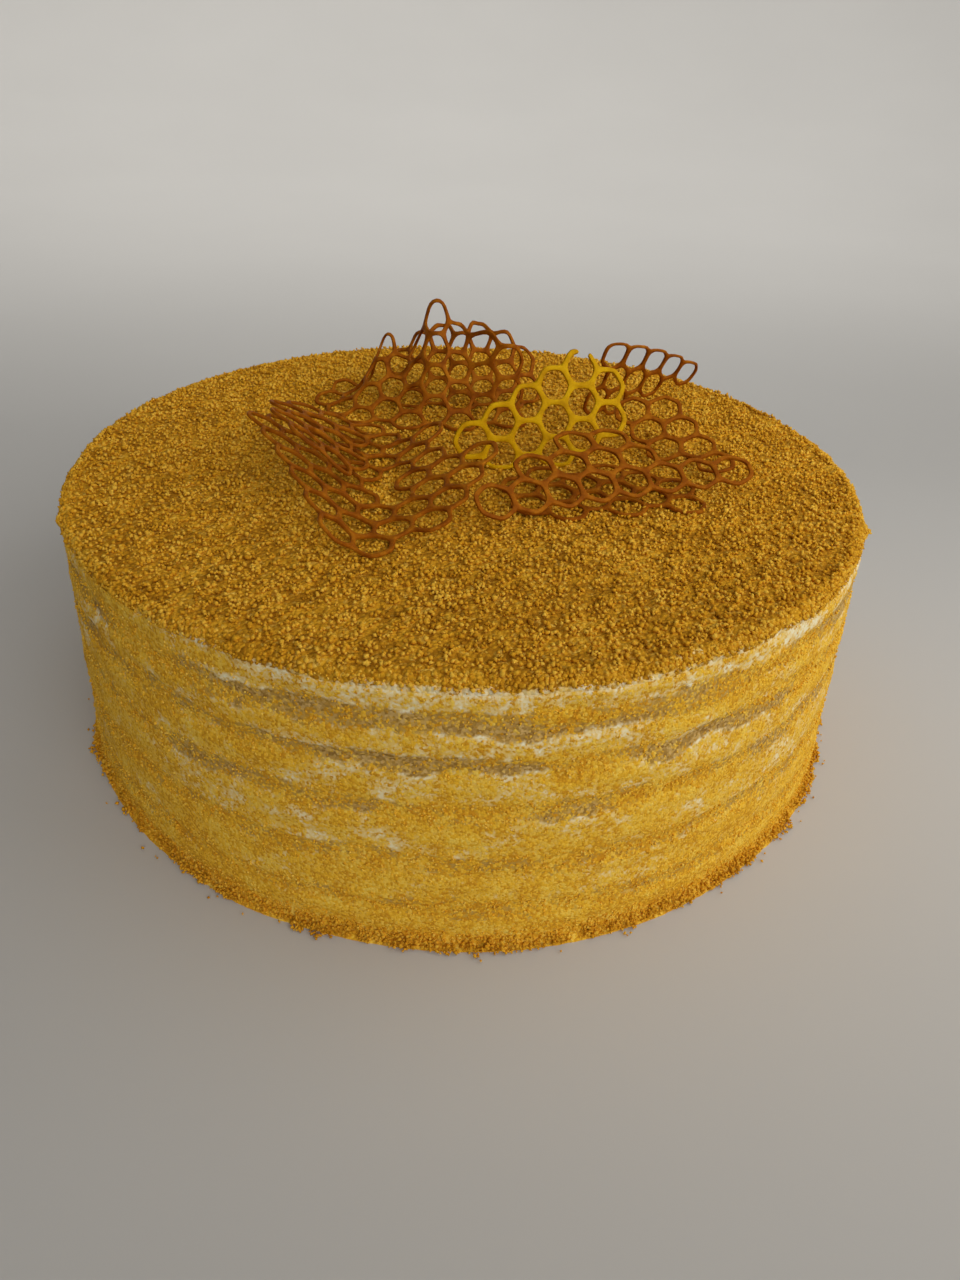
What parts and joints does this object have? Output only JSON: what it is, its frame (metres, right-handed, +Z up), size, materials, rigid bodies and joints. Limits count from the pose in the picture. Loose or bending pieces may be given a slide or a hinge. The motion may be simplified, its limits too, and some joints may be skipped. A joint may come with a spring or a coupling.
{
  "type": "honey cake",
  "caption": "Round layered honey cake coated in fine golden crumbs, with curled honeycomb lace wafers standing on its top.",
  "frame": {"origin": "middle of the flat underside, where the cake meets what it stands on", "axes": "+Z up, -Y towards the side that faces the viewer in the picture, +X to that viewer's right"},
  "size_m": [0.2159, 0.2153, 0.1004],
  "materials": {
    "honey_layer": "soft baked biscuit with a thin crumb coat at the side, matte",
    "cream": "pale cream that shows through a thin crumb coat, matte",
    "crumb": "fine golden-brown crumbs, matte and grainy",
    "caramel_wafer": "thin browned lace wafer, slightly see-through, satin",
    "yellow_wafer": "thin yellow lace wafer, slightly see-through, satin"
  },
  "bodies": {
    "root": {"honey_layer_1": "honey_layer", "honey_layer_2": "honey_layer", "honey_layer_3": "honey_layer", "honey_layer_4": "honey_layer", "honey_layer_5": "honey_layer", "honey_layer_6": "honey_layer", "cream_layer_1": "cream", "cream_layer_2": "cream", "cream_layer_3": "cream", "cream_layer_4": "cream", "cream_layer_5": "cream", "cream_layer_6": "cream", "crumb_top": "crumb", "wafer_yellow": "yellow_wafer", "wafer_front_right": "caramel_wafer", "wafer_front_under": "caramel_wafer", "wafer_low_right": "caramel_wafer", "wafer_back_right": "caramel_wafer", "wafer_ruffled": "caramel_wafer", "wafer_ruffled_back": "caramel_wafer", "wafer_left": "caramel_wafer", "wafer_left_inner": "caramel_wafer"}
  },
  "joints": []
}
